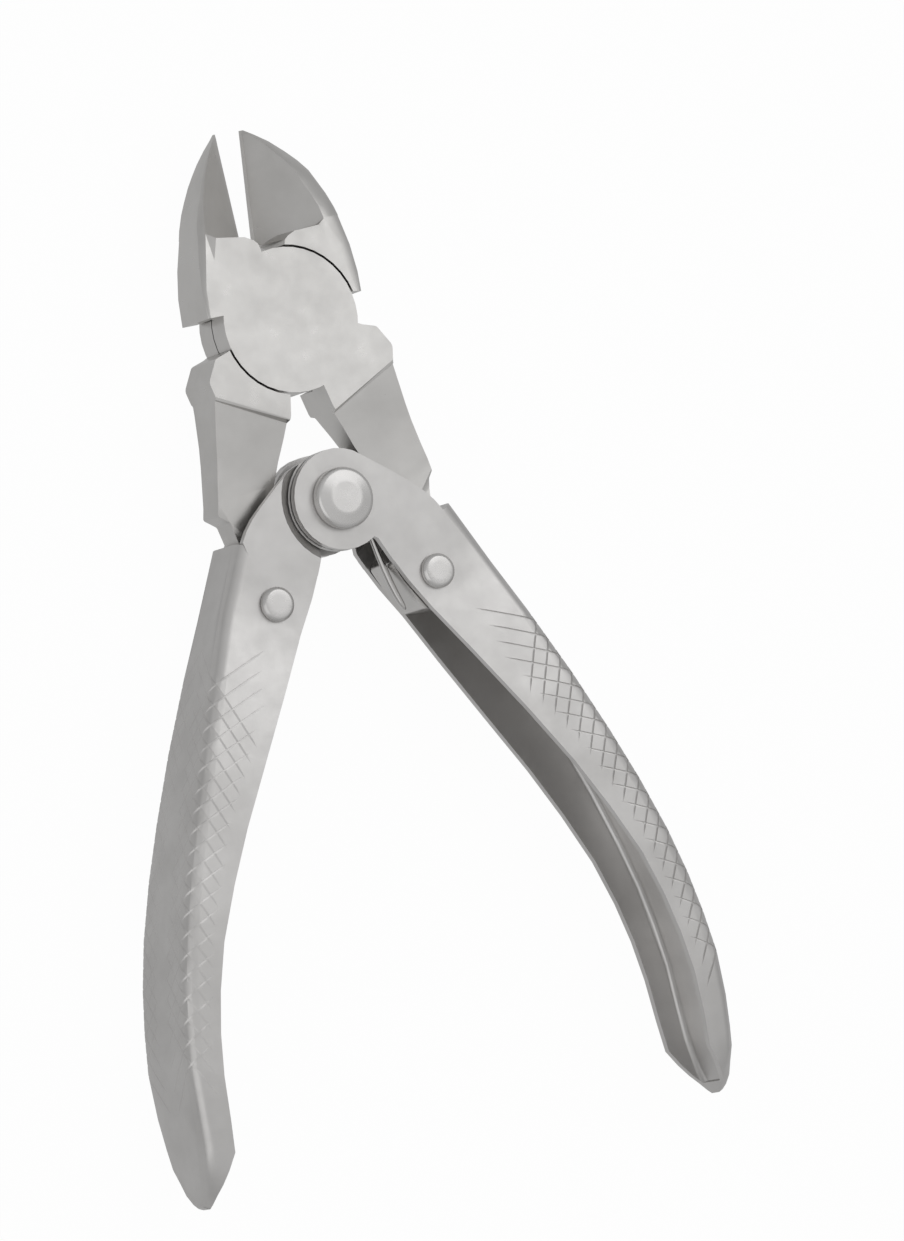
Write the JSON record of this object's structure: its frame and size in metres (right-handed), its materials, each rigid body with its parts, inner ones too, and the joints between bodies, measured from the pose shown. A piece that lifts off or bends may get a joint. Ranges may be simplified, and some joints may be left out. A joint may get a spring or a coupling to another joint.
{
  "type": "wire cutter",
  "caption": "Double-action wire cutter: lapped jaws with bevelled edges, driven by two pressed channel handles with a return spring.",
  "frame": {"origin": "on the axis of the handles' pivot, at the flat face of its rivet's rear head", "axes": "+Z through the thickness towards the front, +Y towards the jaws, +X to the right seen from the front"},
  "size_m": [0.1027, 0.1807, 0.0198],
  "materials": {
    "jaw_steel": "satin nickel plated steel",
    "handle_steel": "satin nickel plated steel sheet",
    "rivet_steel": "polished steel",
    "spring_steel": "bright spring wire"
  },
  "bodies": {
    "front_jaw": {"front_jaw": "jaw_steel", "jaw_pivot_rivet": "rivet_steel"},
    "rear_jaw": {"rear_jaw": "jaw_steel"},
    "right_handle": {"right_handle": "handle_steel", "right_link_rivet": "rivet_steel", "main_pivot_rivet": "rivet_steel", "spring_bush": "rivet_steel", "return_spring": "spring_steel"},
    "left_handle": {"left_handle": "handle_steel", "left_link_rivet": "rivet_steel"}
  },
  "joints": [
    {"name": "right_link", "type": "hinge", "parent": "front_jaw", "child": "right_handle", "pos_m": [0.01396, -0.01593, 0.0088], "axis": [0, 0, 1], "range_deg": [-8, 0.5]},
    {"name": "handle_pivot", "type": "hinge", "parent": "right_handle", "child": "left_handle", "pos_m": [0, 0, 0.0088], "axis": [0, 0, 1], "range_deg": [0, 21], "stiffness_Nm_per_rad": 0.6, "springref_deg": -34.38, "deforming": ["return_spring"]},
    {"name": "jaw_pivot", "type": "hinge", "parent": "front_jaw", "child": "rear_jaw", "pos_m": [0, 0.0316, 0.0088], "axis": [0, 0, 1], "range_deg": [-0.5, 7.3]}
  ],
  "couplings": [
    {"joint": "right_link", "follows": "handle_pivot", "ratio": -0.36312},
    {"joint": "jaw_pivot", "follows": "handle_pivot", "ratio": 0.34762}
  ]
}
